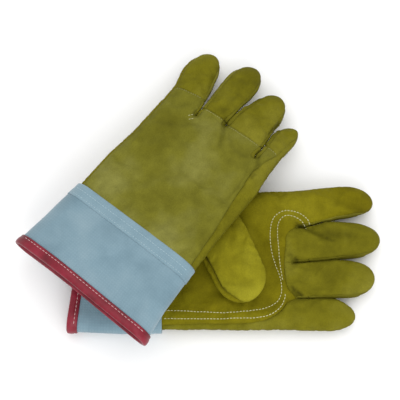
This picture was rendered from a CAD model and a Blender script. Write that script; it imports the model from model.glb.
"""A pair of sewn leather work gloves with safety cuffs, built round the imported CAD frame.

Each glove is drawn as two flat patterns, palm and back, in its own frame: u from the cuff seam
to the fingers, v to the index side and w up, all in millimetres. The patterns are cut along the
seams into the pieces that are sewn together, raised by their distance from the outline, puckered
by a cloth simulation, and laid in place. Blender's own units are metres.
"""
import math

import bpy
import numpy as np
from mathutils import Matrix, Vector, noise
from mathutils.bvhtree import BVHTree
from mathutils.geometry import delaunay_2d_cdt


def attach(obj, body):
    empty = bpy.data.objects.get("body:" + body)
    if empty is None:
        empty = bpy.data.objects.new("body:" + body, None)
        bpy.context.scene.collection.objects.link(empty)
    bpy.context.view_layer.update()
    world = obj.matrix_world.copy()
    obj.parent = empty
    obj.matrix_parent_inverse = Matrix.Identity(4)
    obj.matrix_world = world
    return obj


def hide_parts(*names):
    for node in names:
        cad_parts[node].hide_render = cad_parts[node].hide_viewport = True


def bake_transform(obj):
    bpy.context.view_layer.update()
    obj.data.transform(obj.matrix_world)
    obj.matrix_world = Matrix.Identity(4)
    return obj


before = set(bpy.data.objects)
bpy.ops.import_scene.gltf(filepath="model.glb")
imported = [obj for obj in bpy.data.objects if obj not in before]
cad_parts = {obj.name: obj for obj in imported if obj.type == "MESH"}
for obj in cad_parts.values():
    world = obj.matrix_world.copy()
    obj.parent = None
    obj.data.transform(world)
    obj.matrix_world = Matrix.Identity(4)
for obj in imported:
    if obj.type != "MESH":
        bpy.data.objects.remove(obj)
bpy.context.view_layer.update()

# Sizes of part.scad, in millimetres and degrees.
MM = 0.001
LEFT, RIGHT = 0, 1
SIDES = ("left", "right")
FINGERS = ("index", "middle", "ring", "little")
CUFF_LEN = 70.0
CROTCH_U = 113.0
HAND_THICK = 25.0
FINGER_THICK = 23.0
LEATHER = 1.4
FABRIC = 1.1
KNUCKLES = (12.5, 8.5, 7.5, 12.0)
MOUTH_HALF = 71.0
WRIST_HALF = 62.0
BINDING_W = 6.6
BAND_W = 13.0
THUMB_LEN = 87.0
THUMB_THICK = 12.0
RIGHT_TURN = math.radians(51.0)
STACK_H = 41.5
LEFT_AT = (-31.6, -57.0)
RIGHT_AT = (-52.6, -36.0)
THUMB_GAP = 0.8
EDGE_ROUND = 15.0
NOSE = 21.0
BASE_V = (45.0, 14.0, -16.8, -45.6)
FINGER_LEN = (63.0, 72.0, 67.0, 48.0)
FINGER_HALF = (15.2, 14.8, 14.8, 12.8)
SPLAY = ((6.5, 4.8, 3.0, -1.5), (10.5, 3.4, 1.6, 0.2))
MOUTH_SKEW = (7.0, 1.0)
THUMB_ROOT = ((35.0, 41.0), (50.0, 38.0))
THUMB_TURN = (-64.0, -35.0)
THUMB_HALF = 20.0
THUMB_NOSE = 24.0
THUMB_HINGE = (38.0, 30.0)
MID_W = HAND_THICK / 2
HALF_TABLES = (
    ((-80, MOUTH_HALF - 7), (0, WRIST_HALF - 1), (40, 59.5), (90, 59), (118, 59)),
    ((-80, MOUTH_HALF + 1), (-40, 65.5), (0, WRIST_HALF), (40, 60), (90, 59.5), (118, 59.5)),
)
CENTRE_TABLES = (((-80, 6), (-30, 1.5), (0, 1.5), (118, 1)), ((-80, 1), (0, 0), (118, 1)))
DROOP = ((0, 0, 0, 0), (2, 4, 8, 13))
LEAN_Y = -57.0
LEAN_LONG = 196.0
CUFF_H = 46.0
FLOOR_GAP = 0.4

# Sizes of the visual model. STEP and EDGE_STEP space the points of the patterns and of their
# edges, and RIMS are the rows of points just inside an outline. The strips' widths are those on
# the two sides of a crotch: the next finger's upper side, then this one's lower.
HEM = -1.0
STEP = 2.3
EDGE_STEP = 1.7
RIMS = (0.4, 1.35, 2.6)
STRIP = 3.0
PALM_STRIPS = (1.3, 1.3)
BACK_STRIPS = (3.4, 1.6)
BEND = 22.0
PUCKER_FRAMES = 20
CUFF_TURNS = 180
LINING_TURNS = 120
LINING_IN = -4.2
LINING_THICK = 0.7
CUFF_ROUND = 65.0
UV_SHIFT = 420.0
HEM_POINTS = 56
ROOT_POINTS = 24
LOWEST = 0.3 * MM
SEAM_DEPTH = 0.75
THUMB_SEAM_DEPTH = 0.9
CROTCH_T = ((2.0, -3.0, -1.0), (-1.0, 7.0, -2.0))
# Neighbouring fingers touch as far as this from their crotch, a thin gap apart.
CLOSED = ((27.0, 30.0, 27.0), (6.0, 26.0, 24.0))
TOUCH = 0.5
# Real lengths of the fingers, which differ a little between the two gloves.
LENGTHS = ((66.5, 71.0, 65.0, 47.5), (60.0, 72.0, 63.0, 47.5))
# How much wider each side of a finger is than its plain width, at t along it: for each glove
# and finger, the side towards the little finger and the side towards the index finger.
SIDE_TABLES = (
    (
        (((10, 0), (24, -3), (36, -4.6), (50, -6), (62, -5)), ((0, 3), (36, 1.8), (55, 0.5))),
        (((25, 0), (45, -1.2), (60, -2)), ((5, 0), (12, 0.4), (25, 2.8), (46, 2.8), (64, 0.5))),
        (((15, 0.2), (31, 0.8), (50, 0)), ((0, 0), (30, 1.0), (55, 1.2))),
        (((0, -1), (18, -1.5), (36, -1.7)), ((0, 0), (31, 1), (42, 1))),
    ),
    (
        (
            ((0, 2.2), (12, 2.0), (24, 0.8), (36, -1), (50, -2)),
            ((0, 1), (15, -0.8), (34, 1.5), (50, 0)),
        ),
        (
            ((0, -1.5), (10, -2.7), (22, -2.7), (39, -1.2)),
            ((0, -2.5), (12, -1.8), (24, -0.4), (42, 1)),
        ),
        (
            ((0, 4.6), (6, 4.8), (19, 2.8), (25, 1.8), (42, 0)),
            ((0, 1.8), (8, 2.8), (24, 2.2), (45, 0)),
        ),
        (((0, -3.5), (12, -5), (34, -5)), ((0, -4.6), (6, -5), (19, -3.2), (36, 0))),
    ),
)
# The same for the two edges of the hand: the little finger's and the index finger's.
EDGE_TABLES = (
    (((0, -2.4), (30, -1.7), (75, -0.6), (113, -1)), ((0, 0.5), (60, 0.8), (83, 1.8), (113, 3))),
    (((0, 0), (85, 0), (110, -3.2)), ((0, -1.5), (38, 1.2), (68, -0.4), (110, 1))),
)
PALM, BACK = 1, -1


def smooth(t):
    c = np.clip(t, 0.0, 1.0)
    return c * c * (3 - 2 * c)


def mix(a, b, t):
    return a + (b - a) * smooth(t)


def lookup(x, table):
    return np.interp(x, [row[0] for row in table], [row[1] for row in table])


# ---------------------------------------------------------------- the gloves' own frames


def drape(x, y):
    """Height of the right glove's underside over the floor."""
    t = y - LEAN_Y
    ramp = 0.5 * (t + np.sqrt(t * t + 64.0))
    top = np.where(t < 0, mix(CUFF_H, STACK_H, t / 90 + 1), STACK_H)
    over = top - STACK_H * ramp / LEAN_LONG
    return FLOOR_GAP + np.maximum(0, over) * (1 - 0.55 * smooth((-100 - x) / 70))


def place(g, p):
    """Points [u, v, w] of a glove's own frame, in the frame of the pair, in metres."""
    p = np.asarray(p, float).reshape(-1, 3)
    if g == LEFT:
        return (p + (LEFT_AT[0], LEFT_AT[1], 0.0)) * MM
    c, s = math.cos(RIGHT_TURN), math.sin(RIGHT_TURN)
    x = RIGHT_AT[0] + p[:, 0] * c - p[:, 1] * s
    y = RIGHT_AT[1] + p[:, 0] * s + p[:, 1] * c
    return np.stack([x, y, p[:, 2] + drape(x, y)], 1) * MM


def half_at(g, u):
    return lookup(u, HALF_TABLES[g])


def centre_at(g, u):
    return lookup(u, CENTRE_TABLES[g])


def hand_edge(g, u, sign):
    """Outline of the hand at u, on the little finger's side (-1) or the index finger's (1)."""
    u = np.atleast_1d(np.asarray(u, float))
    half = half_at(g, u) + lookup(u, EDGE_TABLES[g][0 if sign < 0 else 1])
    return np.stack([u, centre_at(g, u) + sign * half], 1)


def finger_point(g, f, t, side):
    """Point at t along a finger and side from its middle line, positive to the index side."""
    t, side = np.broadcast_arrays(np.asarray(t, float), np.asarray(side, float))
    a = math.radians(SPLAY[g][f])
    return np.stack(
        [
            CROTCH_U + t * math.cos(a) - side * math.sin(a),
            BASE_V[f] + t * math.sin(a) + side * math.cos(a),
        ],
        -1,
    )


def open_width(g, f, t, side):
    """Width of one half of a finger at t, on its side -1 or 1, away from its neighbour."""
    t = np.asarray(t, float)
    length = LENGTHS[g][f]
    share = np.sqrt(np.clip(1 - np.maximum(0, (t - length + NOSE) / NOSE) ** 2, 0, 1))
    plain = FINGER_HALF[f] * (1 + 0.03 * np.sin(np.pi * np.clip(t / length, 0, 1)))
    return (plain + lookup(t, SIDE_TABLES[g][f][0 if side < 0 else 1])) * share


def finger_width(g, f, t, side):
    """The same, with the gap to the neighbour closed near the crotch."""
    w = open_width(g, f, t, side)
    k = f if side < 0 else f - 1
    if k < 0 or k > 2:
        return w
    above = finger_point(g, k, t, -open_width(g, k, t, -1))
    below = finger_point(g, k + 1, t, open_width(g, k + 1, t, 1))
    gap = above[..., 1] - below[..., 1]
    return w + (gap - TOUCH) / 2 * smooth((CLOSED[g][k] + 6 - np.asarray(t, float)) / 12)


def gap_line(g, k):
    """Middle of the closed gap between fingers k and k + 1."""
    t = np.linspace(min(0, CROTCH_T[g][k]), CLOSED[g][k] + 4, 12)
    above = finger_point(g, k, t, -finger_width(g, k, t, -1))
    below = finger_point(g, k + 1, t, finger_width(g, k + 1, t, 1))
    return (above + below) / 2


def thumb_point(g, s, side):
    """Point of a thumb's middle plane, in the glove's flat frame."""
    a = math.radians(THUMB_TURN[g])
    return np.stack(
        [
            THUMB_ROOT[g][0] + s * math.cos(a) - side * math.sin(a),
            THUMB_ROOT[g][1] + s * math.sin(a) + side * math.cos(a),
        ],
        -1,
    )


def up_sign(g, face):
    """1 where that face of the glove looks up."""
    return face if g == LEFT else -face


# ---------------------------------------------------------------- polylines


def resampled(points, step):
    """Even points along a polyline."""
    p = np.asarray(points, float)
    run = np.concatenate([[0], np.cumsum(np.linalg.norm(np.diff(p, axis=0), axis=1))])
    n = max(1, int(round(run[-1] / step)))
    at = np.linspace(0, run[-1], n + 1)
    return np.stack([np.interp(at, run, p[:, i]) for i in range(p.shape[1])], 1)


def curved(points, step):
    """Even points along a Catmull-Rom curve through the given ones."""
    p = np.asarray(points, float)
    p = np.vstack([2 * p[0] - p[1], p, 2 * p[-1] - p[-2]])
    t = np.linspace(0, 1, 12, endpoint=False)[:, None]
    parts = []
    for i in range(1, len(p) - 2):
        a, b, c, d = p[i - 1], p[i], p[i + 1], p[i + 2]
        parts.append(
            0.5 * (2 * b + (c - a) * t + (2 * a - 5 * b + 4 * c - d) * t**2
                   + (3 * b - a - 3 * c + d) * t**3)
        )
    return resampled(np.vstack(parts + [p[-2][None]]), step)


def distance(points, line):
    """Distance of each point from a polyline."""
    a, b = line[:-1], line[1:]
    d = b - a
    long2 = np.maximum(1e-12, (d * d).sum(1))
    out = np.empty(len(points))
    for i in range(0, len(points), 2000):
        q = points[i:i + 2000, None, :] - a[None]
        t = np.clip((q * d[None]).sum(2) / long2[None], 0, 1)
        out[i:i + 2000] = np.sqrt(((q - t[..., None] * d[None]) ** 2).sum(2)).min(1)
    return out


def left_normals(line):
    d = np.gradient(line, axis=0)
    d /= np.maximum(1e-9, np.linalg.norm(d, axis=1))[:, None]
    return np.stack([-d[:, 1], d[:, 0]], 1)


def nearest(line, point):
    return int(np.argmin(((line - np.asarray(point)) ** 2).sum(1)))


def inside(points, ring):
    """True for the points inside a closed ring."""
    x, y = points[:, 0], points[:, 1]
    hit = np.zeros(len(points), bool)
    for (x1, y1), (x2, y2) in zip(ring, np.roll(ring, -1, 0)):
        if y1 == y2:
            continue
        crosses = (y1 > y) != (y2 > y)
        hit ^= crosses & (x < (x2 - x1) * (y - y1) / (y2 - y1) + x1)
    return hit


# ---------------------------------------------------------------- flat patterns


def hand_outline(g):
    """Outline from the hem's little side round the fingers to the hem's index side."""
    u = np.linspace(HEM, CROTCH_U - 6, 50)
    parts = [hand_edge(g, u, -1)]
    for f in (3, 2, 1, 0):
        low = CROTCH_T[g][f] if f < 3 else -2
        high = CROTCH_T[g][f - 1] if f > 0 else -2
        straight = LENGTHS[g][f] - NOSE
        nose = straight + NOSE * np.sin(np.radians(np.linspace(2, 90, 20)))
        t1 = np.concatenate([np.linspace(low, straight, 20), nose])
        t2 = np.concatenate([np.linspace(high, straight, 20), nose[:-1]])[::-1]
        parts.append(finger_point(g, f, t1, -finger_width(g, f, t1, -1)))
        parts.append(finger_point(g, f, t2, finger_width(g, f, t2, 1)))
    parts.append(hand_edge(g, u[::-1], 1))
    return resampled(np.vstack(parts), EDGE_STEP)


def offset_path(line, first, last, width, taper_first, taper_last):
    """Seam along part of the outline, moved inwards. It meets the outline where it tapers."""
    part = line[first:last + 1]
    run = np.arange(len(part)) * EDGE_STEP
    w = np.full(len(part), float(width)) if np.isscalar(width) else width(part)
    if taper_first:
        w = w * smooth(run / 13)
    if taper_last:
        w = w * smooth((run[-1] - run) / 13)
    step = np.diff(part, axis=0)
    ways = np.arctan2(step[:, 1], step[:, 0]) + math.pi / 2
    moved, widths = [], []
    for i, point in enumerate(part):
        way = ways[max(0, i - 1)]
        turn = (way - ways[min(i, len(ways) - 1)] + math.pi) % (2 * math.pi) - math.pi
        turn = abs(turn) if abs(turn) > 2.8 else turn
        fan = np.linspace(0, 1, 7) if turn > 0.7 else [0.5]
        for share in fan:
            a = way - turn * share
            moved.append(point + w[i] * np.array([math.cos(a), math.sin(a)]))
            widths.append(w[i])
    moved = np.array(moved)
    keep = distance(moved, line) > np.array(widths) - 0.12
    keep[0] = keep[-1] = True
    return resampled(moved[keep], 1.0 if taper_first and taper_last else EDGE_STEP)


def tip_index(g, line, f, side):
    """Outline vertex near a fingertip where the side strip ends."""
    t = LENGTHS[g][f] - 5.0
    return nearest(line, finger_point(g, f, t, side * finger_width(g, f, t, side)))


def strip_paths(g, line, widths):
    """The seams round the three crotches, between the side strips and the rest."""

    def width(part):
        return mix(widths[0], widths[1], (np.linspace(0, 1, len(part)) - 0.4) / 0.2)

    return [
        offset_path(line, tip_index(g, line, k + 1, 1), tip_index(g, line, k, -1), width, True, True)
        for k in range(3)
    ]


def edge_vertex(g, line, f, t, side):
    """Outline vertex on one side of a finger, at t along it."""
    a = math.radians(SPLAY[g][f])
    rel = line - (CROTCH_U, BASE_V[f])
    along = rel[:, 0] * math.cos(a) + rel[:, 1] * math.sin(a)
    across = rel[:, 1] * math.cos(a) - rel[:, 0] * math.sin(a)
    off = np.abs(side * across - finger_width(g, f, along, side))
    return int(np.argmin(np.abs(along - t) + np.where(off < 0.24, 0, 1e3)))


def strip_cuts(g, line, strips, widths):
    """Short seams across the side strips at the knuckles."""
    cuts = []
    for k, path in enumerate(strips):
        for f, side in ((k, -1), (k + 1, 1)):
            t = KNUCKLES[f]
            half = finger_width(g, f, t, side)
            width = widths[0 if side > 0 else 1]
            b = finger_point(g, f, t, side * (half - width))
            cuts.append(np.array([line[edge_vertex(g, line, f, t, side)], path[nearest(path, b)]]))
    return cuts


# The seam of the palm, from the hem round to the crotch beside the index finger.
PALM_SEAM = ((30, -54), (60, -54), (80, -52.5), (91, -49), (99, -43), (104, -36.5))
BASE_SEAM = ((104, -24), (102, -13), (102, -2), (103, 10), (104.5, 22))
# How far the strip on the little finger's edge wraps on to the back.
WRAP_TABLE = ((0, 3.5), (35, 5), (69, 10), (88, 12), (101, 11.5), (113, 7), (124, STRIP))


def palm_seams(g, hem, strips):
    """Seams of the palm side and the seed point of each piece."""
    start = hem[nearest(hem, (HEM, hand_edge(g, HEM, -1)[0][1] + 3.0))]
    low = strips[2][np.argmin(strips[2][:, 0])]
    side = curved([start, *PALM_SEAM, low], EDGE_STEP)
    top = strips[0][np.argmin(strips[0][:, 0])]
    base = curved([low, *BASE_SEAM, top], EDGE_STEP)
    between = strips[1][np.argmin(strips[1][:, 0])]
    cut = resampled([base[nearest(base, between)], between], EDGE_STEP)
    seeds = {
        "palm": (50, 0),
        "side": tuple(finger_point(g, 3, 20, 0)),
        "ring_front": tuple(finger_point(g, 2, 20, 0)),
        "middle_front": tuple(finger_point(g, 1, 20, 0)),
    }
    return [side, base, cut], seeds


def back_seams(g, hem, strips, line):
    """Seams of the back and the seed point of each piece."""

    def little_width(part):
        return lookup(part[:, 0], WRAP_TABLE)

    index_path = offset_path(line, tip_index(g, line, 0, 1), len(line) - 1, 2.6, True, False)
    index_path[-1] = hem[nearest(hem, index_path[-1])]
    little_path = offset_path(line, 0, tip_index(g, line, 3, -1), little_width, False, True)
    little_path[0] = hem[nearest(hem, little_path[0])]
    seams = [index_path, little_path]
    seeds = {"back": (50, 0)}
    bounds = [(strips[0], index_path), (strips[1], strips[0]), (strips[2], strips[1]),
              (little_path, strips[2])]
    for f, (low, high) in enumerate(bounds):
        t = KNUCKLES[f]
        a = low[nearest(low, finger_point(g, f, t, 3 - finger_width(g, f, t, -1)))]
        b = high[nearest(high, finger_point(g, f, t, finger_width(g, f, t, 1) - 3))]
        seams.append(resampled([a, b], EDGE_STEP))
        seeds[f"{FINGERS[f]}_tip_back"] = tuple(finger_point(g, f, 36, 0))
    seeds["palm"] = (60, hand_edge(g, 60, 1)[0][1] - 1.0)
    seeds["side"] = (60, hand_edge(g, 60, -1)[0][1] + 1.0)
    return seams, seeds


def strip_seeds(g, line, widths):
    """Seed points of the strips: from the crotch to the knuckle and beyond it."""
    seeds = {}
    for k, name in enumerate(("index_middle", "middle_ring", "ring_little")):
        t = CROTCH_T[g][k]
        above = finger_point(g, k, t, -finger_width(g, k, t, -1))
        below = finger_point(g, k + 1, t, finger_width(g, k + 1, t, 1))
        near = np.abs(line - (above + below) / 2).max(1) < 5
        crotch = line[near][np.argmin(line[near][:, 0])]
        seeds[f"strip_{name}"] = tuple(crotch - (0.5, 0))
        for f, side in ((k, -1), (k + 1, 1)):
            width = widths[0 if side > 0 else 1]
            w = finger_width(g, f, 26, side) - width * 0.4
            seeds[f"{FINGERS[f]}_fourchette", side] = tuple(finger_point(g, f, 26, side * w))
    return seeds


def cut_pattern(line, hem, seams, seeds):
    """Triangles of one flat pattern, with the seams as edges. Returns the points, the triangles
    and the piece name of each triangle."""
    ring = np.vstack([line, hem[1:-1]])
    low, high = ring.min(0), ring.max(0)
    grid = np.array([
        (x + (STEP / 2 if row % 2 else 0), y)
        for row, y in enumerate(np.arange(low[1], high[1], STEP * 0.866))
        for x in np.arange(low[0], high[0], STEP)
    ])
    grid = grid[inside(grid, ring)]
    grid = grid[distance(grid, line) > 3.7]
    rims = [line + left_normals(line) * d for d in RIMS]
    rims = [r[distance(r, line) > 0.93 * d] for r, d in zip(rims, RIMS)]
    inner = np.vstack([grid, *rims])
    inner = inner[inside(inner, ring)]
    far = np.min([distance(inner, s) for s in seams], 0) > 0.95
    inner = inner[far & (distance(inner, hem) > 1.0)]
    coords = [*map(tuple, ring)]
    edges = [(i, (i + 1) % len(ring)) for i in range(len(ring))]
    for s in seams:
        start = len(coords)
        coords += [*map(tuple, s)]
        edges += [(start + i, start + i + 1) for i in range(len(s) - 1)]
    coords += [*map(tuple, inner)]
    verts, out_edges, faces, _, made_of, _ = delaunay_2d_cdt(
        [Vector(c) for c in coords], edges, [], 1, 1e-3, True
    )
    uv = np.array([tuple(v) for v in verts])
    tris = np.array([f for f in faces if len(f) == 3])
    area = np.cross(uv[tris[:, 1]] - uv[tris[:, 0]], uv[tris[:, 2]] - uv[tris[:, 0]])
    kept = (np.abs(area) > 1e-6) & inside(uv[tris].mean(1), ring)
    tris, area = tris[kept], area[kept]
    tris[area < 0] = tris[area < 0][:, ::-1]
    walls = {tuple(sorted(e)) for e, m in zip(out_edges, made_of) if m}
    names = flood(uv, tris, walls, seeds)
    return uv, tris, names


def triangle_at(uv, tris, middle, point):
    """The triangle that a point lies in."""
    a, b, c = (uv[tris[:, i]] - np.asarray(point) for i in range(3))
    sides = np.stack([np.cross(a, b), np.cross(b, c), np.cross(c, a)])
    around = np.nonzero((sides >= -1e-9).all(0))[0]
    return around[0] if len(around) else nearest(middle, point)


def flood(uv, tris, walls, seeds):
    """Names each triangle after the seed in its part of the pattern."""
    by_edge = {}
    for i, t in enumerate(tris):
        for a, b in ((t[0], t[1]), (t[1], t[2]), (t[2], t[0])):
            by_edge.setdefault((min(a, b), max(a, b)), []).append(i)
    group = -np.ones(len(tris), int)
    count = 0
    for first in range(len(tris)):
        if group[first] >= 0:
            continue
        group[first] = count
        stack = [first]
        while stack:
            t = tris[stack.pop()]
            for a, b in ((t[0], t[1]), (t[1], t[2]), (t[2], t[0])):
                e = (min(a, b), max(a, b))
                if e in walls:
                    continue
                for n in by_edge[e]:
                    if group[n] < 0:
                        group[n] = count
                        stack.append(n)
        count += 1
    middle = uv[tris].mean(1)
    name_of = {}
    for key, seed in seeds.items():
        name = key if isinstance(key, str) else key[0]
        name_of[group[triangle_at(uv, tris, middle, seed)]] = name
    named = np.isin(group, list(name_of))
    for k in range(count):
        if k not in name_of:
            at = middle[group == k].mean(0)
            name_of[k] = name_of[group[named][nearest(middle[named], at)]]
    return [name_of[k] for k in group]


# ---------------------------------------------------------------- raising the patterns


def folds(points, lines):
    """Sum of soft ridges (depth above 0) and creases (below 0) along curves on a face."""
    total = np.zeros(len(points))
    for height, width, line in lines:
        path = curved(line, 1.5)
        d = distance(points, path)
        ends = np.minimum(
            np.linalg.norm(points - path[0], axis=1), np.linalg.norm(points - path[-1], axis=1)
        )
        total += height * np.exp(-((d / width) ** 2)) * mix(0.25, 1, ends / 9)
    return total


def waves(points, size, seed):
    """Smooth noise from -1 to 1 over a flat pattern. size is the length of a wave."""
    return np.array([noise.noise((p[0] / size, p[1] / size, seed * 7.3)) for p in points])


# Ridges and creases: height, width and route, for each glove and face, in its flat frame.
PALM_FOLDS = (
    (
        (1.3, 5.0, ((74, 28), (84, 23), (92, 13), (95, 2))),
        (-1.6, 4.0, ((70, 22), (80, 14), (88, 4))),
        (-2.6, 2.3, ((113.5, 31.5), (121, 27.5), (129, 23.8), (137, 20.6), (144, 18.5))),
        (1.6, 3.0, ((112, 26), (120, 22.8), (128, 19.5), (136, 16.5))),
        (-1.9, 4.5, ((137, 23), (146, 23), (156, 22))),
        (-1.5, 3.0, ((112, -2), (120, -5), (130, -4))),
        (-1.8, 2.6, ((114, -25), (119, -29), (128, -33))),
        (-1.0, 6.0, ((20, -30), (45, -28), (70, -30))),
        (-1.2, 5.0, ((150, 54), (158, 50), (166, 48))),
    ),
    (
        (-1.2, 5.0, ((30, -20), (60, -10), (90, -16))),
    ),
)
BACK_FOLDS = (
    ((-1.0, 6.0, ((30, -20), (60, -10), (90, -16))),),
    (
        (-1.4, 6.0, ((96, 38), (104, 22), (106, 6))),
        (0.9, 7.0, ((60, 30), (80, 12), (92, -10))),
        (-1.0, 7.0, ((22, 36), (44, 20), (60, 2), (66, -20))),
        (-1.5, 4.0, ((104, 20), (109, 14), (116, 11))),
        (-1.3, 4.5, ((100, -30), (106, -26), (114, -16))),
        (-2.0, 2.4, ((121, 2.5), (115, 0), (107, -5), (99, -8))),
        (-2.0, 2.4, ((112, -39.5), (107, -43), (101, -46), (92, -47.5))),
        (1.5, 2.2, ((104, 29), (108, 26.5), (113, 28))),
        (-1.2, 4.0, ((128, 30), (134, 34), (142, 38))),
        (-1.2, 4.0, ((134, 6), (144, 5), (154, 6))),
        (-1.0, 4.0, ((132, -28), (140, -27), (150, -26))),
        (0.8, 6.0, ((8, 52), (30, 40), (44, 20))),
        (-0.8, 8.0, ((6, -10), (20, -22), (44, -30))),
    ),
)


def middle_height(g, uv):
    """Height of the glove's middle plane: the fingers of the right glove hang down."""
    drop = np.zeros(len(uv))
    best = np.full(len(uv), 1e9)
    for f in range(4):
        a = math.radians(SPLAY[g][f])
        rel = uv - (CROTCH_U, BASE_V[f])
        t = rel[:, 0] * math.cos(a) + rel[:, 1] * math.sin(a)
        side = np.abs(rel[:, 1] * math.cos(a) - rel[:, 0] * math.sin(a))
        here = (side < best) & (t > 0)
        best = np.where(here, side, best)
        drop = np.where(here, DROOP[g][f] * smooth(t / FINGER_LEN[f]), drop)
    return MID_W - drop


def raise_hand(g, face, uv, line):
    """Heights of one face of the hand and fingers."""
    d = distance(uv, line)
    tall = mix(HAND_THICK, FINGER_THICK, (uv[:, 0] - 100) / 20) / 2
    up = up_sign(g, face)
    near = np.zeros(len(uv))
    for k in range(3):
        near = np.maximum(near, np.exp(-((distance(uv, gap_line(g, k)) / 10) ** 2)))
    edge_round = EDGE_ROUND - (8.0 if up > 0 else 0.0) * near
    profile = np.sqrt(np.clip(1 - (1 - np.minimum(1, d / edge_round)) ** 2, 0, 1))
    raised = 6.0 * near
    if up > 0:
        h = raised + (tall - raised) * profile
    else:
        h = tall * profile - raised * (1 - smooth(d / 4))
    if up < 0:
        h -= mix(0, 1.9, (12 - uv[:, 0]) / 18) * profile
    lines = (PALM_FOLDS if face == PALM else BACK_FOLDS)[g]
    soft = smooth(d / 9)
    if up > 0:
        h += folds(uv, lines) * smooth(d / 4)
        h += (waves(uv, 34, 3 + g) * 0.9 + waves(uv, 15, 5 + g) * 0.35) * soft
    else:
        h -= (0.5 + 0.5 * waves(uv, 30, 9 + g)) * soft
    return middle_height(g, uv) + up * h, d


def drawn_together(g, uv, d):
    """Flat points with the edges of touching fingers moved almost together."""
    moved = uv.copy()
    for k in range(3):
        path = resampled(gap_line(g, k), 0.5)
        rows = np.nonzero((distance(uv, path) < 3) & (d < 2.5))[0]
        if not len(rows):
            continue
        away = path[None] - uv[rows][:, None]
        length = np.linalg.norm(away, axis=2)
        near = length.argmin(1)
        step = away[np.arange(len(rows)), near]
        size = np.maximum(1e-6, length.min(1))
        share = np.minimum(0.42, size * 2) * np.exp(-((d[rows] / 1.2) ** 2)) / size
        moved[rows] += step * share[:, None]
    return moved


def thumb_outline():
    """Outline of a thumb in its own frame [s, side], from its root round the tip."""
    s = np.concatenate(
        [np.linspace(-8, THUMB_LEN - THUMB_NOSE, 40),
         THUMB_LEN - THUMB_NOSE + THUMB_NOSE * np.sin(np.radians(np.linspace(3, 90, 26)))]
    )
    share = np.sqrt(np.clip(1 - np.maximum(0, (s - THUMB_LEN + THUMB_NOSE) / THUMB_NOSE) ** 2, 0, 1))
    low = np.stack([s, -mix(THUMB_HALF + 1.5, THUMB_HALF + 0.3, s / 50) * share], 1)
    wide = lookup(s, ((-8, 20), (14, 24), (30, 25), (50, 24.2), (66, 23.3)))
    high = np.stack([s, wide * share], 1)[::-1][1:]
    return resampled(np.vstack([low, high]), EDGE_STEP)


THUMB_FOLDS = (
    (-1.7, 2.2, ((20, 24), (28, 22), (36, 19.5), (41, 15.5), (46, 12))),
    (1.1, 3.2, ((22, 15), (31, 14.5), (41, 9.5))),
    (-1.1, 2.4, ((24, 10), (32, 10), (40, 5.5))),
    (0.9, 5.0, ((30, -6), (48, -4), (64, 2))),
    (-0.7, 4.0, ((48, 12), (60, 13), (70, 10))),
)


def raise_thumb(g, face, sv, line):
    d = distance(sv, line)
    thick = mix(4, THUMB_THICK, (sv[:, 0] + 8) / 46)
    lift = HAND_THICK + THUMB_GAP + thick / 2
    profile = np.sqrt(np.clip(1 - (1 - np.minimum(1, d / 11)) ** 2, 0, 1))
    up = up_sign(g, face)
    h = (thick / 2) * profile
    soft = smooth(d / 6)
    if (g == LEFT) == (up > 0):
        h += folds(sv, THUMB_FOLDS) * soft * smooth((sv[:, 0] + 8) / 20)
        h += waves(sv, 17, 21 + g) * 0.5 * soft
    centre = lift if g == LEFT else HAND_THICK - lift
    root = 1.4 * (1 - smooth((sv[:, 0] + 8) / 16))
    return centre + up * h - (root if g == LEFT else -root), d


# ---------------------------------------------------------------- meshes


def new_mesh(name, verts, faces, uvs=None, attributes=None):
    mesh = bpy.data.meshes.new(name)
    mesh.from_pydata([tuple(v) for v in verts], [], [tuple(int(i) for i in f) for f in faces])
    if uvs is not None:
        layer = mesh.uv_layers.new(name="pattern")
        loops = np.empty(len(mesh.loops), int)
        mesh.loops.foreach_get("vertex_index", loops)
        layer.data.foreach_set("uv", np.asarray(uvs)[loops].ravel())
    for key, values in (attributes or {}).items():
        attribute = mesh.attributes.new(key, "FLOAT", "POINT")
        attribute.data.foreach_set("value", np.asarray(values, np.float32))
    mesh.validate()
    mesh.shade_smooth()
    obj = bpy.data.objects.new(name, mesh)
    bpy.context.scene.collection.objects.link(obj)
    return obj


def applied(obj):
    """The object with its modifiers applied."""
    graph = bpy.context.evaluated_depsgraph_get()
    mesh = bpy.data.meshes.new_from_object(obj.evaluated_get(graph))
    obj.modifiers.clear()
    old, obj.data = obj.data, mesh
    bpy.data.meshes.remove(old)
    return obj


def thickened(obj, thickness, levels=0):
    """Smooths a sheet and gives it a closed thickness, inwards from the given surface."""
    if levels:
        sub = obj.modifiers.new("smooth", "SUBSURF")
        sub.levels = sub.render_levels = levels
        sub.boundary_smooth = "PRESERVE_CORNERS"
    solid = obj.modifiers.new("thickness", "SOLIDIFY")
    solid.thickness = thickness
    solid.offset = -1.0
    solid.use_rim = True
    applied(obj)
    obj.data.shade_smooth()
    return obj


def joined_faces(sheets):
    """Welds the two faces of a form where they share the outline. Each sheet is
    (points, triangles, names, flat points, distance, is_top)."""
    index = {}
    points, flat, faces, names, edge, where = [], [], [], [], [], []
    for at, (p, tris, name, uv, d, top) in enumerate(sheets):
        ids = []
        for i in range(len(p)):
            key = (round(uv[i][0], 2), round(uv[i][1], 2)) if d[i] < 1e-3 else (at, i)
            if key not in index:
                index[key] = len(points)
                points.append(p[i])
                flat.append(uv[i])
                edge.append(d[i])
                where.append(at)
            ids.append(index[key])
        ids = np.array(ids)
        t = ids[tris] if top else ids[tris][:, ::-1]
        faces.append(t)
        names += name
    return np.array(points), np.array(flat), np.vstack(faces), names, np.array(edge), np.array(where)


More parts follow.
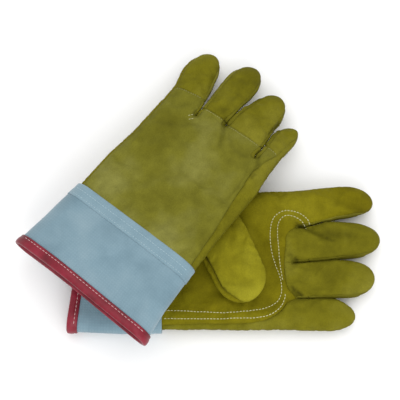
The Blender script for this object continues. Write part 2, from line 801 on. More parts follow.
def seam_vertices(faces, names, count):
    """Vertices that two or more pieces share, and which pieces meet there."""
    touching = [set() for _ in range(count)]
    for f, name in zip(faces, names):
        for v in f:
            touching[v].add(name)
    return np.array([len(t) for t in touching]) > 1, touching


def is_strip(name):
    return name.startswith("strip") or name.endswith("fourchette")


def seam_strength(flat, touching, crotches, top):
    """How deep and dark each seam vertex is: strong in the crotches and faint elsewhere."""
    out = np.zeros(len(flat))
    for i, names in enumerate(touching):
        if len(names) < 2:
            continue
        strips = [n for n in names if is_strip(n)]
        rest = [n for n in names if not is_strip(n)]
        if strips and not rest:
            out[i] = 0.0
        elif strips:
            out[i] = 0.10 if top[i] else 0.22
        elif any(n.endswith("tip_back") for n in rest):
            out[i] = 0.08
        elif any(n.endswith("_front") for n in rest):
            out[i] = 0.12
        else:
            out[i] = 0.2
    for u, v, size, amount in crotches:
        near = np.exp(-(((flat[:, 0] - u) ** 2 + (flat[:, 1] - v) ** 2) / size**2))
        out = np.where(out > 0, np.maximum(out, amount * near), out)
    return out


def vertex_normals(points, faces):
    a, b, c = points[faces[:, 0]], points[faces[:, 1]], points[faces[:, 2]]
    n = np.cross(b - a, c - a)
    out = np.zeros_like(points)
    for i in range(3):
        np.add.at(out, faces[:, i], n)
    return out / np.maximum(1e-12, np.linalg.norm(out, axis=1))[:, None]


# How far the leather may move out and in, and the cloth's shrinking and pressure.
HAND_PUCKER = (1.2 * MM, 2.6 * MM, -0.035, 2.0)
THUMB_PUCKER = (0.5 * MM, 1.6 * MM, -0.03, 1.0)
SIDEWAYS = 1.0 * MM


def puckered(points, faces, held, limit_out, limit_in, shrink, pressure):
    """Lets the leather swell between its seams as cloth. Points are in metres."""
    obj = new_mesh("cloth_tmp", points, faces)
    group = obj.vertex_groups.new(name="held")
    group.add([int(i) for i in np.nonzero(held)[0]], 1.0, "REPLACE")
    cloth = obj.modifiers.new("cloth", "CLOTH")
    s = cloth.settings
    s.quality = 5
    s.mass = 0.4
    s.tension_stiffness = s.compression_stiffness = 30
    s.shear_stiffness = 15
    s.bending_stiffness = 6
    s.vertex_group_mass = "held"
    s.use_pressure = True
    s.uniform_pressure_force = pressure
    s.shrink_min = shrink
    s.effector_weights.gravity = 0
    cloth.collision_settings.use_collision = False
    cloth.point_cache.frame_start = 1
    cloth.point_cache.frame_end = PUCKER_FRAMES
    for step in range(1, PUCKER_FRAMES + 1):
        bpy.context.scene.frame_set(step)
    graph = bpy.context.evaluated_depsgraph_get()
    done = obj.evaluated_get(graph).to_mesh()
    co = np.empty(len(done.vertices) * 3)
    done.vertices.foreach_get("co", co)
    bpy.context.scene.frame_set(1)
    moved = co.reshape(-1, 3) - points
    bpy.data.objects.remove(obj)
    n = vertex_normals(points, faces)
    along = (moved * n).sum(1)
    rest = moved - along[:, None] * n
    along = np.where(along > 0, limit_out * np.tanh(along / limit_out), along)
    along = np.where(along < 0, -limit_in * np.tanh(-along / limit_in), along)
    size = np.linalg.norm(rest, axis=1)
    rest *= (np.minimum(size, SIDEWAYS) / np.maximum(1e-9, size))[:, None]
    return points + along[:, None] * n + rest


def grooved(points, faces, seam, depth):
    """Draws the seams in between their neighbours."""
    n = vertex_normals(points, faces)
    return points - n * (seam * depth)[:, None]


# ---------------------------------------------------------------- materials


def nodes_of(name, rough, sheen=0.0, coat=0.0, specular=0.5):
    mat = bpy.data.materials.new(name)
    mat.use_nodes = True
    tree = mat.node_tree
    shader = tree.nodes["Principled BSDF"]
    shader.inputs["Roughness"].default_value = rough
    shader.inputs["Sheen Weight"].default_value = sheen
    shader.inputs["Coat Weight"].default_value = coat
    shader.inputs["Specular IOR Level"].default_value = specular
    return mat, tree, shader


def add(tree, kind, links=(), **values):
    node = tree.nodes.new(kind)
    for key, value in values.items():
        if key.startswith("in_"):
            node.inputs[key[3:].replace("_", " ")].default_value = value
        else:
            setattr(node, key, value)
    for socket, source in links:
        tree.links.new(source, node.inputs[socket])
    return node


def noise_node(tree, vector, scale, detail=3.0, rough=0.5):
    return add(tree, "ShaderNodeTexNoise", [("Vector", vector)], in_Scale=scale, in_Detail=detail,
               in_Roughness=rough).outputs["Fac"]


def ramp(tree, factor, stops):
    node = add(tree, "ShaderNodeValToRGB", [("Fac", factor)])
    elements = node.color_ramp.elements
    while len(elements) < len(stops):
        elements.new(0.5)
    for e, (at, colour) in zip(elements, stops):
        e.position = at
        e.color = (*colour, 1) if len(colour) == 3 else colour
    return node.outputs["Color"]


def blend_colours(tree, factor, a, b, mode="MIX"):
    node = add(tree, "ShaderNodeMix", data_type="RGBA", blend_type=mode)
    for socket, value in ((0, factor), (6, a), (7, b)):
        if isinstance(value, bpy.types.NodeSocket):
            tree.links.new(value, node.inputs[socket])
        elif socket == 0:
            node.inputs[0].default_value = value
        else:
            node.inputs[socket].default_value = (*value, 1)
    return node.outputs[2]


def bump(tree, height, strength, depth, normal=None):
    links = [("Height", height)]
    if normal is not None:
        links.append(("Normal", normal))
    return add(tree, "ShaderNodeBump", links, in_Strength=strength, in_Distance=depth).outputs["Normal"]


def pattern_coordinates(tree, shift):
    """Coordinates of the flat pattern, moved so that two materials don't repeat each other."""
    uv = add(tree, "ShaderNodeUVMap", uv_map="pattern").outputs["UV"]
    return add(tree, "ShaderNodeMapping", [("Vector", uv)], in_Location=shift).outputs[0]


def leather(name, dark, main, light, seed):
    """Dull split cowhide: mottled dye, rubbed lighter patches, fine grain and darker seams."""
    mat, tree, shader = nodes_of(name, 0.8, sheen=0.0, specular=0.06)
    shader.inputs["Sheen Roughness"].default_value = 0.5
    shifted = pattern_coordinates(tree, (seed, seed * 0.7, 0))
    large = noise_node(tree, shifted, 17, 3, 0.55)
    colour = ramp(tree, large, [(0.33, dark), (0.5, main), (0.68, light)])
    small = noise_node(tree, shifted, 95, 4, 0.6)
    tint = ramp(tree, small, [(0.3, (0.80, 0.80, 0.78)), (0.7, (1.14, 1.14, 1.18))])
    colour = blend_colours(tree, 0.8, colour, tint, "MULTIPLY")
    grain = noise_node(tree, shifted, 900, 2, 0.6)
    speck = ramp(tree, grain, [(0.3, (0.86, 0.86, 0.84)), (0.7, (1.1, 1.1, 1.12))])
    colour = blend_colours(tree, 0.8, colour, speck, "MULTIPLY")
    seam = add(tree, "ShaderNodeAttribute", attribute_name="seam").outputs["Fac"]
    worn = add(tree, "ShaderNodeMath", operation="MULTIPLY", use_clamp=True)
    tree.links.new(seam, worn.inputs[0])
    wear = ramp(tree, noise_node(tree, shifted, 60, 2), [(0.35, (0.5,) * 3), (0.65, (1,) * 3)])
    tree.links.new(wear, worn.inputs[1])
    colour = blend_colours(tree, worn.outputs[0], colour, tuple(c * 0.18 for c in dark))
    tree.links.new(colour, shader.inputs["Base Color"])
    cells = add(tree, "ShaderNodeTexVoronoi", [("Vector", shifted)], in_Scale=800.0).outputs["Distance"]
    wrinkles = noise_node(tree, shifted, 210, 5, 0.65)
    n = bump(tree, cells, 0.25, 0.0003)
    n = bump(tree, wrinkles, 0.35, 0.0009, n)
    n = bump(tree, small, 0.35, 0.0016, n)
    tree.links.new(n, shader.inputs["Normal"])
    return mat


def woven(name, dark, main, light, pitch, rough, depth, seed):
    """Plain weave: two crossed sets of threads, with soft stains."""
    mat, tree, shader = nodes_of(name, rough, sheen=0.25, specular=0.25)
    shifted = pattern_coordinates(tree, (seed, seed * 1.7, 0))
    stains = noise_node(tree, shifted, 24, 4, 0.6)
    colour = ramp(tree, stains, [(0.32, dark), (0.5, main), (0.7, light)])
    scale = 1 / pitch / 2
    threads = [
        add(tree, "ShaderNodeTexWave", [("Vector", shifted)], bands_direction=way, in_Scale=scale * 0.32,
            in_Distortion=0.35, in_Detail=1.0, in_Detail_Scale=3.0).outputs["Fac"]
        for way in ("X", "Y")
    ]
    weave = add(tree, "ShaderNodeMath", operation="MULTIPLY")
    tree.links.new(threads[0], weave.inputs[0])
    tree.links.new(threads[1], weave.inputs[1])
    tint = ramp(tree, weave.outputs[0], [(0.0, (0.95, 0.955, 0.96)), (0.6, (1.03, 1.03, 1.03))])
    colour = blend_colours(tree, 0.85, colour, tint, "MULTIPLY")
    tree.links.new(colour, shader.inputs["Base Color"])
    n = bump(tree, weave.outputs[0], 0.3, depth)
    n = bump(tree, stains, 0.3, 0.002, n)
    tree.links.new(n, shader.inputs["Normal"])
    return mat


def vinyl(name, dark, main, light):
    """Thin glossy vinyl, crinkled where it is folded."""
    mat, tree, shader = nodes_of(name, 0.45, coat=0.08, specular=0.3)
    shader.inputs["Coat Roughness"].default_value = 0.3
    uv = add(tree, "ShaderNodeUVMap", uv_map="pattern").outputs["UV"]
    patches = noise_node(tree, uv, 60, 4, 0.6)
    colour = ramp(tree, patches, [(0.3, dark), (0.5, main), (0.72, light)])
    tree.links.new(colour, shader.inputs["Base Color"])
    crinkle = noise_node(tree, uv, 240, 3, 0.6)
    grain = noise_node(tree, uv, 1400, 2, 0.5)
    n = bump(tree, grain, 0.25, 0.0002)
    n = bump(tree, crinkle, 0.4, 0.0008, n)
    tree.links.new(n, shader.inputs["Normal"])
    return mat


def thread(name, dark, light):
    """Twisted cotton thread."""
    mat, tree, shader = nodes_of(name, 0.75, sheen=0.3, specular=0.2)
    coord = add(tree, "ShaderNodeTexCoord").outputs["Object"]
    twist = noise_node(tree, coord, 1800, 2, 0.5)
    colour = ramp(tree, twist, [(0.35, dark), (0.65, light)])
    tree.links.new(colour, shader.inputs["Base Color"])
    tree.links.new(bump(tree, twist, 0.5, 0.0002), shader.inputs["Normal"])
    return mat


def floor_material():
    mat, _, shader = nodes_of("floor_white", 0.9, specular=0.1)
    shader.inputs["Base Color"].default_value = (0.93, 0.93, 0.93, 1)
    return mat


# Colours are linear values, from dark to light.
MATERIALS = {
    "leather": leather(
        "leather_olive", (0.106, 0.095, 0.004), (0.143, 0.129, 0.006), (0.182, 0.167, 0.016), 0.0
    ),
    "leather_palm": leather(
        "leather_palm", (0.125, 0.105, 0.002), (0.160, 0.138, 0.003), (0.190, 0.166, 0.006), 3.1
    ),
    "leather_thumb": leather(
        "leather_thumb", (0.175, 0.153, 0.005), (0.215, 0.193, 0.008), (0.255, 0.232, 0.014), 5.7
    ),
    "leather_strip": leather(
        "leather_strip", (0.112, 0.101, 0.005), (0.152, 0.139, 0.010), (0.195, 0.180, 0.022), 8.2
    ),
    "leather_back": leather(
        "leather_back", (0.112, 0.104, 0.008), (0.150, 0.142, 0.015), (0.195, 0.188, 0.040), 1.9
    ),
    "canvas": woven("canvas_blue", (0.137, 0.222, 0.270), (0.174, 0.270, 0.322), (0.215, 0.311, 0.359), 0.0011,
                    0.78, 0.0004, 0.0),
    "band": woven("canvas_band", (0.148, 0.237, 0.285), (0.185, 0.285, 0.337), (0.222, 0.322, 0.370), 0.0011,
                  0.78, 0.0004, 2.3),
    "vinyl": vinyl("vinyl_red", (0.100, 0.002, 0.009), (0.175, 0.004, 0.015), (0.250, 0.010, 0.030)),
    "lining": woven("lining_cotton", (0.50, 0.47, 0.38), (0.62, 0.59, 0.49), (0.70, 0.67, 0.58), 0.0016, 0.9,
                    0.0005, 4.4),
    "thread": thread("thread_cream", (0.44, 0.42, 0.22), (0.62, 0.60, 0.36)),
    "thread_fine": thread("thread_fine", (0.26, 0.24, 0.08), (0.38, 0.36, 0.15)),
    "thread_blue": thread("thread_blue", (0.30, 0.42, 0.47), (0.44, 0.56, 0.60)),
    "thread_red": thread("thread_binding", (0.50, 0.28, 0.28), (0.66, 0.46, 0.45)),
}


def dressed(obj, finish):
    """Gives a piece its material."""
    obj.data.materials.clear()
    obj.data.materials.append(MATERIALS[finish])
    return obj


# ---------------------------------------------------------------- bodies


def body(g, name):
    return f"{SIDES[g]}_{name}"


def bend_finger(obj, g, f):
    """The piece bends at the knuckle. All the pieces of a finger use the same line."""
    a = finger_point(g, f, KNUCKLES[f], 0)
    b = finger_point(g, f, KNUCKLES[f] + BEND, 0)
    start, end = place(g, [(*a, MID_W), (*b, MID_W)])
    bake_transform(obj)


def bend_thumb(obj, g):
    a = thumb_point(g, THUMB_HINGE[g], 0)
    b = thumb_point(g, THUMB_HINGE[g] + BEND, 0)
    start, end = place(g, [(*a, MID_W), (*b, MID_W)])
    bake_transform(obj)


def move_with(obj, g, mover):
    """mover is "hand", a finger's number or "thumb"."""
    if mover == "hand":
        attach(obj, body(g, "hand"))
    elif mover == "thumb":
        bend_thumb(obj, g)
    else:
        bend_finger(obj, g, mover)


# Pieces of the leather hand: finish, what they move with and the CAD nodes that they stand for.
HAND_PIECES = {
    "palm": ("leather_palm", 0, ("palm_panel", "index_front")),
    "side": ("leather", 3, ("side_panel", "little_front")),
    "middle_front": ("leather", 1, ("finger_fronts_base", "middle_front")),
    "ring_front": ("leather", 2, ("finger_fronts_base", "ring_front")),
    "back": ("leather_back", "hand", ("back_panel",)),
    "strip_index_middle": ("leather_strip", "hand", ("fourchette_index_middle",)),
    "strip_middle_ring": ("leather_strip", "hand", ("fourchette_middle_ring",)),
    "strip_ring_little": ("leather_strip", "hand", ("fourchette_ring_little",)),
}
for number, finger in enumerate(FINGERS):
    HAND_PIECES[f"{finger}_tip_back"] = ("leather", number, (f"{finger}_tip_back",))
    HAND_PIECES[f"{finger}_fourchette"] = ("leather_strip", number, (f"{finger}_fourchette",))

THUMB_PIECES = {
    "thumb_back": ("leather_thumb", "thumb", ("thumb_base", "thumb_back")),
    "thumb_front": ("leather_thumb", "thumb", ("thumb_front",)),
    "thumb_sides": ("leather_palm", "thumb", ("thumb_sides",)),
}


def seam_shade(faces, strength):
    """The dark of each seam, fading over about 2 mm to either side, for the material."""
    near = strength.copy()
    total = np.zeros(len(near))
    number = np.zeros(len(near))
    for a, b in ((0, 1), (1, 2), (2, 0)):
        for i, j in ((a, b), (b, a)):
            np.add.at(total, faces[:, i], near[faces[:, j]])
            np.add.at(number, faces[:, i], 1)
    return np.maximum(near, 0.35 * total / np.maximum(1, number))


def make_pieces(g, table, points, flat, faces, names, where, shade, uv_shift):
    """Cuts the welded skin into its pieces, each with its thickness, finish and body."""
    names = np.array(names)
    made = []
    for name, (finish, mover, stands_for) in table.items():
        chosen = faces[names == name]
        used, local = np.unique(chosen, return_inverse=True)
        uv = (flat[used] + np.stack([where[used] * 310.0, np.full(len(used), uv_shift)], 1)) * MM
        obj = new_mesh(f"{SIDES[g]}_{name}_leather", points[used], local.reshape(-1, 3), uv,
                       {"seam": shade[used]})
        thickened(obj, LEATHER * MM, 1)
        dressed(obj, finish)
        move_with(obj, g, mover)
        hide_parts(*[f"{SIDES[g]}_{n}" for n in stands_for])
        made.append(obj)
    return made


def surface_tree(objects):
    """A search tree over the pieces' final meshes, in the pair's frame."""
    points, faces = [], []
    for o in objects:
        start = len(points)
        m = o.matrix_world
        points += [m @ v.co for v in o.data.vertices]
        faces += [[start + i for i in p.vertices] for p in o.data.polygons]
    return BVHTree.FromPolygons(points, faces)


# Dark hollows at the crotches: place, size and strength, for each glove.
CROTCH_SHADES = (
    ((116, 30, 5, 0.7), (110, 1, 4, 0.6), (112, -29, 4, 0.5)),
    ((112, 28, 4, 0.5), (122, 2.5, 5, 0.7), (110, -41, 5, 0.6)),
)
# Dark lines where the upper face is creased: strength, width and route, for each glove.
CREASE_SHADES = (
    (
        (1.00, 1.5, ((112.5, 32), (116, 30), (120, 28))),
        (0.75, 1.5, ((120, 28), (128, 24), (136, 20.8), (143, 18))),
        (0.40, 4.5, ((137, 23), (147, 22.5), (157, 22))),
        (1.00, 1.4, ((106.5, 4.5), (109.5, 1.5), (113, -0.5))),
        (0.80, 1.4, ((107.5, -24), (111.5, -27.5), (116, -30))),
        (0.30, 3.0, ((148, 51), (158, 47.5), (168, 46))),
    ),
    (
        (0.45, 1.8, ((116, 1.5), (111, -3), (105, -5.5), (99, -8))),
        (0.55, 1.8, ((121, 2.5), (117, 0.5), (113, -2))),
        (0.55, 1.6, ((112, -39.5), (107, -43), (101, -46), (92, -47.5))),
        (0.25, 3.5, ((134, 30), (141, 34), (150, 40))),
        (0.30, 2.5, ((126, 10), (138, 11), (150, 12))),
    ),
)


def up_sheet(g):
    """Number of the sheet that looks up: the palm's on the left glove, the back's on the right."""
    return 0 if g == LEFT else 1


def make_hand(g):
    """The leather hand with its four fingers. Returns a search tree of its surface."""
    line = hand_outline(g)
    hem_v = np.linspace(line[-1][1], line[0][1], HEM_POINTS)
    hem = np.stack([np.full(HEM_POINTS, HEM), hem_v], 1)
    sheets = []
    for face, widths in ((PALM, PALM_STRIPS), (BACK, BACK_STRIPS)):
        strips = strip_paths(g, line, widths)
        cuts = strip_cuts(g, line, strips, widths)
        if face == PALM:
            seams, seeds = palm_seams(g, hem, strips)
        else:
            seams, seeds = back_seams(g, hem, strips, line)
        seeds.update(strip_seeds(g, line, widths))
        uv, tris, names = cut_pattern(line, hem, [*strips, *cuts, *seams], seeds)
        w, d = raise_hand(g, face, uv, line)
        points = np.column_stack([drawn_together(g, uv, d), w])
        sheets.append((points, tris, names, uv, d, up_sign(g, face) > 0))
    points, flat, faces, names, edge, where = joined_faces(sheets)
    seam, touching = seam_vertices(faces, names, len(points))
    placed = place(g, points)
    held = seam | (edge < 0.2) | (flat[:, 0] < HEM + 3)
    placed = puckered(placed, faces, held, *HAND_PUCKER)
    strength = seam_strength(flat, touching, CROTCH_SHADES[g], where == up_sheet(g))
    placed = grooved(placed, faces, np.minimum(1.0, strength * 2.4) * (flat[:, 0] > 1), SEAM_DEPTH * MM)
    placed[:, 2] = np.maximum(placed[:, 2], LOWEST)
    shade = seam_shade(faces, strength)
    for amount, width, route in CREASE_SHADES[g]:
        gap = distance(flat, curved(route, 1.5))
        shade = np.maximum(shade, (where == up_sheet(g)) * amount * np.exp(-((gap / width) ** 2)))
    return surface_tree(
        make_pieces(g, HAND_PIECES, placed, flat, faces, names, where, shade, g * UV_SHIFT)
    )


def make_thumb(g):
    """The thumb: a back in one piece with the base, a front, and a strip down one side."""
    line = thumb_outline()
    root_v = np.linspace(line[-1][1], line[0][1], ROOT_POINTS)
    root = np.stack([np.full(ROOT_POINTS, line[-1][0]), root_v], 1)
    tip = nearest(line, (THUMB_LEN, 0))
    sheets = []
    for face, name, width in ((PALM, "thumb_back", 3.4), (BACK, "thumb_front", 2.6)):
        low = offset_path(line, 0, tip - 2, width, False, True)
        low[0] = root[nearest(root, low[0])]
        seeds = {name: (60, 0), "thumb_sides": (50, line[nearest(line, (50, -20))][1] + 1.0)}
        sv, tris, names = cut_pattern(line, root, [low], seeds)
        w, d = raise_thumb(g, face, sv, line)
        uv = thumb_point(g, sv[:, 0], sv[:, 1])
        sheets.append((np.column_stack([uv, w]), tris, names, sv, d, up_sign(g, face) > 0))
    points, flat, faces, names, edge, where = joined_faces(sheets)
    seam, touching = seam_vertices(faces, names, len(points))
    placed = place(g, points)
    held = seam | (edge < 0.2) | (flat[:, 0] < -4)
    placed = puckered(placed, faces, held, *THUMB_PUCKER)
    strip = np.array(["thumb_sides" in t and edge[i] > 0.2 for i, t in enumerate(touching)])
    ends = smooth((flat[:, 0] + 2) / 10) * mix(1, 0.3, (flat[:, 0] - 62) / 22)
    strength = np.where(seam & strip, 0.95 * ends, np.where(seam, 0.15, 0.0))
    placed = grooved(placed, faces, np.minimum(1.0, strength * 1.6), THUMB_SEAM_DEPTH * MM)
    shade = seam_shade(faces, strength)
    make_pieces(g, THUMB_PIECES, placed, flat, faces, names, where, shade, 900.0 + g * 200)


# ---------------------------------------------------------------- cuffs


def cuff_point(g, s, angle, out):
    """Point of the cuff's flattened tube, at an angle round it, out from its surface."""
    share = np.cos(angle)
    top = np.sin(angle) > 0
    half = half_at(g, s) + out
    side = half * share
    v = centre_at(g, s) + side
    edge = half * (1 - np.abs(share))
    rise = np.sqrt(np.clip(1 - (1 - np.minimum(1, edge / EDGE_ROUND)) ** 2, 0, 1))
    low = mix(0, 1.9, (12 - s) / 18)
    h = np.where(top, MID_W + out, MID_W + out - low) * rise
    u = s + v * math.tan(math.radians(MOUTH_SKEW[g])) * smooth(-s / CUFF_LEN)
    return np.stack([u, v, MID_W + np.where(top, h, -h)], 1)


def tube_faces(rings, turns):
    """Faces of a tube with so many rings, and so many points in each."""
    return [
        (i * turns + j, i * turns + (j + 1) % turns, (i + 1) * turns + (j + 1) % turns,
         (i + 1) * turns + j)
        for i in range(rings - 1) for j in range(turns)
    ]


def cuff_waves(g, s, angle):
    """Undulation of the cuff's upper and lower layers, and how the layers sag at the mouth."""
    side = np.cos(angle) * 65
    top = np.sin(angle) > 0
    flat = np.stack([s, side], 1)
    wave = waves(flat, 31, 31 + g) * 1.5 + waves(flat, 13, 35 + g) * 0.35
    away = smooth(-s / 22) * smooth((1 - np.abs(np.cos(angle))) * 7)
    sag = 2.2 * smooth((-s - 20) / 50) * smooth((1 - np.abs(np.cos(angle))) * 3)
    return np.where(top, (wave * 0.9 - 0.6) * away - sag, np.clip(-wave, -1.6, 0.0) * away * -1.0)


def loft(g, name, shape, turns, ring, thickness, finish, node):
    """A tube round the cuff, open at both ends. shape has the station of each ring and how far
    out it lies, and ring makes its points and their places in the flat pattern."""
    angle = np.linspace(0, 2 * math.pi, turns, endpoint=False)
    points, uv = zip(*[ring(np.full(turns, float(s)), angle, out) for s, out in shape])
    points = place(g, np.vstack(points))
    points[:, 2] = np.maximum(points[:, 2], LOWEST)
    obj = new_mesh(name, points, tube_faces(len(shape), turns), np.vstack(uv) * MM)
    thickened(obj, thickness * MM)
    dressed(obj, finish)
    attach(obj, body(g, "hand"))
    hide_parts(f"{SIDES[g]}_{node}")
    return obj


def cuff_sheet(g, name, shape, thickness, finish, node):
    """A sheet round the cuff that follows its waves."""

    def ring(s, angle, out):
        p = cuff_point(g, s, angle, out)
        p[:, 2] += cuff_waves(g, s, angle)
        across = np.cos(angle) * CUFF_ROUND
        run = np.where(np.sin(angle) > 0, -across, across + 150)
        return p, np.stack([s, run + g * UV_SHIFT], 1)

    return loft(g, name, shape, CUFF_TURNS, ring, thickness, finish, node)


def cuff_pieces(g):
    """The canvas cuff, the band over its seam to the leather, and the binding of its mouth."""
    side = SIDES[g]
    shape = [(s, 0.0) for s in np.linspace(-CUFF_LEN + 0.3, -0.5, 34)]
    cuff = cuff_sheet(g, f"{side}_cuff_canvas", shape, FABRIC, "canvas", "cuff")
    shape = ((-BAND_W, 0.1), (-BAND_W + 0.1, 0.45), (-BAND_W + 0.9, 0.7), (-10.5, 0.6), (-8, 0.7),
             (-5.5, 0.45), (-3, 0.65), (-1.0, 0.7), (-0.2, 0.5), (0.1, 0.1))
    band = cuff_sheet(g, f"{side}_cuff_band", shape, 0.6, "band", "cuff_band")
    hem = -CUFF_LEN + BINDING_W
    rim = -CUFF_LEN - 1.2
    shape = ((hem, 0.15), (hem - 0.1, 0.6), (hem - 0.7, 0.85), (hem - 1.6, 0.55), (hem - 2.6, 0.95),
             (hem - 4.2, 1.2), (rim + 1.4, 1.05), (rim + 0.5, 0.75), (rim + 0.1, 0.2), (rim, -0.6),
             (rim + 0.3, -1.5), (rim + 1.2, -2.0), (rim + 4, -2.1), (hem, -2.0))
    binding = cuff_sheet(g, f"{side}_cuff_binding", shape, 0.5, "vinyl", "cuff_binding")
    return surface_tree([cuff, band, binding])


def cuff_stitches(g, tree):
    """The row along the binding and the two along the band, on the upper layer."""
    side = SIDES[g]

    def row(s):
        v = np.linspace(-0.93, 0.93, 24) * half_at(g, s)
        u = s + v * math.tan(math.radians(MOUTH_SKEW[g])) * smooth(-s / CUFF_LEN)
        return np.stack([u, centre_at(g, s) + v], 1)

    stitch_piece(f"{side}_binding_thread", g, tree, [row(-CUFF_LEN + BINDING_W - 1.7)], 3.4, 0.28,
                 1, "thread_red")
    stitch_piece(f"{side}_band_thread", g, tree, [row(-5.4), row(-10.8)], 2.8, 0.17, 1,
                 "thread_blue")


def lining_piece(g):
    """Soft lining of the hand, loose inside the leather and the start of the cuff."""

    def ring(s, angle, out):
        p = cuff_point(g, s, angle, out)
        p[:, 2] += np.where(np.sin(angle) > 0, -1, 1) * (1.0 + waves(p[:, :2], 16, 41 + g)) * 0.8
        return p, np.stack([s, angle * 30], 1)

    shape = [(s, LINING_IN) for s in np.linspace(-50, 98, 60)]
    loft(g, f"{SIDES[g]}_lining_cotton", shape, LINING_TURNS, ring, LINING_THICK, "lining", "lining")


# ---------------------------------------------------------------- stitches


def capsule(a, b, normal, radius):
    """A stitch from a to b that stands a little proud in its middle."""
    along = b - a
    length = np.linalg.norm(along)
    along = along / max(1e-9, length)
    side = np.cross(along, normal)
    side /= max(1e-9, np.linalg.norm(side))
    verts, faces = [], []
    rows = ((0.0, 0.35, -0.35), (0.12, 0.8, 0.1), (0.5, 1.0, 0.45), (0.88, 0.8, 0.1), (1.0, 0.35, -0.35))
    for at, size, lift in rows:
        middle = a + along * length * at + normal * radius * lift
        for k in range(6):
            t = k * math.pi / 3
            verts.append(middle + (side * math.cos(t) + normal * math.sin(t)) * radius * size)
    for i in range(len(rows) - 1):
        for k in range(6):
            p, q = i * 6 + k, i * 6 + (k + 1) % 6
            faces.append((p, q, q + 6, p + 6))
    faces.append(tuple(range(5, -1, -1)))
    faces.append(tuple(range(24, 30)))
    return verts, faces


def on_surface(tree, g, uv, up):
    """Places flat points on the outside of a surface. Returns points and normals, or None."""
    out = []
    for u, v in uv:
        x, y, _ = place(g, [(u, v, 0)])[0]
        start = Vector((x, y, 0.2 if up > 0 else -0.1))
        hit, normal, _, _ = tree.ray_cast(start, Vector((0, 0, -up)))
        if hit is None:
            out.append(None)
            continue
        if normal.z * up < 0:
            normal = -normal
        out.append((np.array(hit), np.array(normal)))
    return out


def stitch_piece(name, g, tree, rows, pitch, radius, up, finish="thread", stands_for=()):
    """One mesh of stitches along rows of flat points on a surface."""
    verts, faces = [], []
    for row in rows:
        marks = on_surface(tree, g, curved(row, pitch / 2), up)
        for i in range(0, len(marks) - 1, 2):
            if marks[i] is None or marks[i + 1] is None:
                continue
            (a, n1), (b, n2) = marks[i], marks[i + 1]
            if np.linalg.norm(a - b) > pitch * MM * 1.6:
                continue
            b = a + (b - a) * 1.45
            v, f = capsule(a, b, (n1 + n2) / max(1e-9, np.linalg.norm(n1 + n2)), radius * MM)
            faces += [[len(verts) + i for i in one] for one in f]
            verts += v
    obj = new_mesh(name, verts, faces)
    dressed(obj, finish)
    move_with(obj, g, "hand")
    if stands_for:
        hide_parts(*stands_for)


# Routes of the palm's topstitching, in a glove's flat frame.
TOP_ROWS = (
    ((2, -43.5), (30, -44.6), (55, -45), (76, -43.2), (89, -39.8), (96.5, -34.5), (99.2, -26),
     (98, -15), (94.3, -4), (91.5, 7), (90.2, 18), (91.3, 30), (95, 38), (102, 42), (110, 42.2),
     (117, 40), (122.3, 35), (125, 29.5)),
    ((2, -50), (30, -50.2), (55, -49.8), (78, -49.2), (90, -46.6), (98, -40.5), (101.6, -33),
     (101.9, -29)),
    ((100, -17.5), (98.2, -5), (97.2, 9), (96.5, 21), (97.4, 31), (101.4, 36.8), (107.6, 38.2),
     (114, 36.2), (119, 32), (120.8, 28)),
)


# Stitches that show at a crotch of the right glove's back.
CROTCH_MARKS = (
    ((103.5, 28.6), (107, 25.5)),
    ((106, 31), (110.6, 28.6)),
)


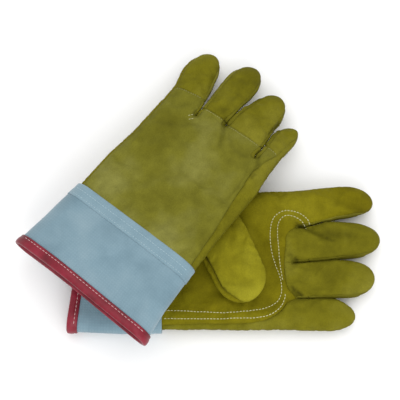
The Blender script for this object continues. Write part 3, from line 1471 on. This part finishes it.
def stitches(g, tree):
    """The topstitching of the palm and the rows along the knuckle seams of the back."""
    side = SIDES[g]
    palm_up = up_sign(g, PALM)
    stitch_piece(f"{side}_topstitch_thread", g, tree, TOP_ROWS, 2.7, 0.33, palm_up,
                 stands_for=[f"{side}_palm_topstitch"])
    for f in range(4):
        t = KNUCKLES[f] - 1.0
        low, high = finger_width(g, f, t, -1) - 4.2, finger_width(g, f, t, 1) - 4.2
        row = finger_point(g, f, [t] * 5, np.linspace(-low, high, 5))
        stitch_piece(f"{side}_{FINGERS[f]}_knuckle_thread", g, tree, [row], 2.2, 0.17, -palm_up,
                     "thread_fine")
    if g == RIGHT:
        stitch_piece(f"{side}_crotch_thread", g, tree, CROTCH_MARKS, 2.6, 0.24, -palm_up)


# ---------------------------------------------------------------- build

for glove in (LEFT, RIGHT):
    hand_tree = make_hand(glove)
    make_thumb(glove)
    cuff_tree = cuff_pieces(glove)
    cuff_stitches(glove, cuff_tree)
    lining_piece(glove)
    stitches(glove, hand_tree)


# ---------------------------------------------------------------- stage


def make_floor():
    mesh = bpy.data.meshes.new("floor")
    mesh.from_pydata([(-4, -4, 0), (4, -4, 0), (4, 4, 0), (-4, 4, 0)], [], [(0, 1, 2, 3)])
    obj = bpy.data.objects.new("floor", mesh)
    mesh.materials.append(floor_material())
    bpy.context.scene.collection.objects.link(obj)


def area_light(name, at, size, power):
    data = bpy.data.lights.new(name, "AREA")
    data.shape = "DISK"
    data.size = size
    data.energy = power
    obj = bpy.data.objects.new(name, data)
    obj.location = at
    obj.rotation_euler = (Vector((0, 0, 0)) - Vector(at)).to_track_quat("-Z", "Y").to_euler()
    bpy.context.scene.collection.objects.link(obj)


def make_light():
    world = bpy.data.worlds.new("studio")
    world.use_nodes = True
    world.node_tree.nodes["Background"].inputs[0].default_value = (1, 1, 1, 1)
    world.node_tree.nodes["Background"].inputs[1].default_value = 0.98
    bpy.context.scene.world = world
    area_light("key", (0.1, 0.35, 1.8), 1.5, 7)
    area_light("fill", (0.15, -1.3, 1.0), 1.2, 9)


def make_camera():
    """The camera looks down at 72 degrees."""
    data = bpy.data.cameras.new("camera")
    data.sensor_width = 36
    data.lens = 114.3
    obj = bpy.data.objects.new("camera", data)
    tilt = math.radians(72)
    target = Vector((0, 0.003, 0))
    back = Vector((0, -math.cos(tilt), math.sin(tilt)))
    obj.location = target + back * 1.1
    obj.rotation_euler = (-back).to_track_quat("-Z", "Y").to_euler()
    bpy.context.scene.collection.objects.link(obj)
    bpy.context.scene.camera = obj


make_floor()
make_light()
make_camera()
bpy.context.scene.view_settings.view_transform = "Standard"
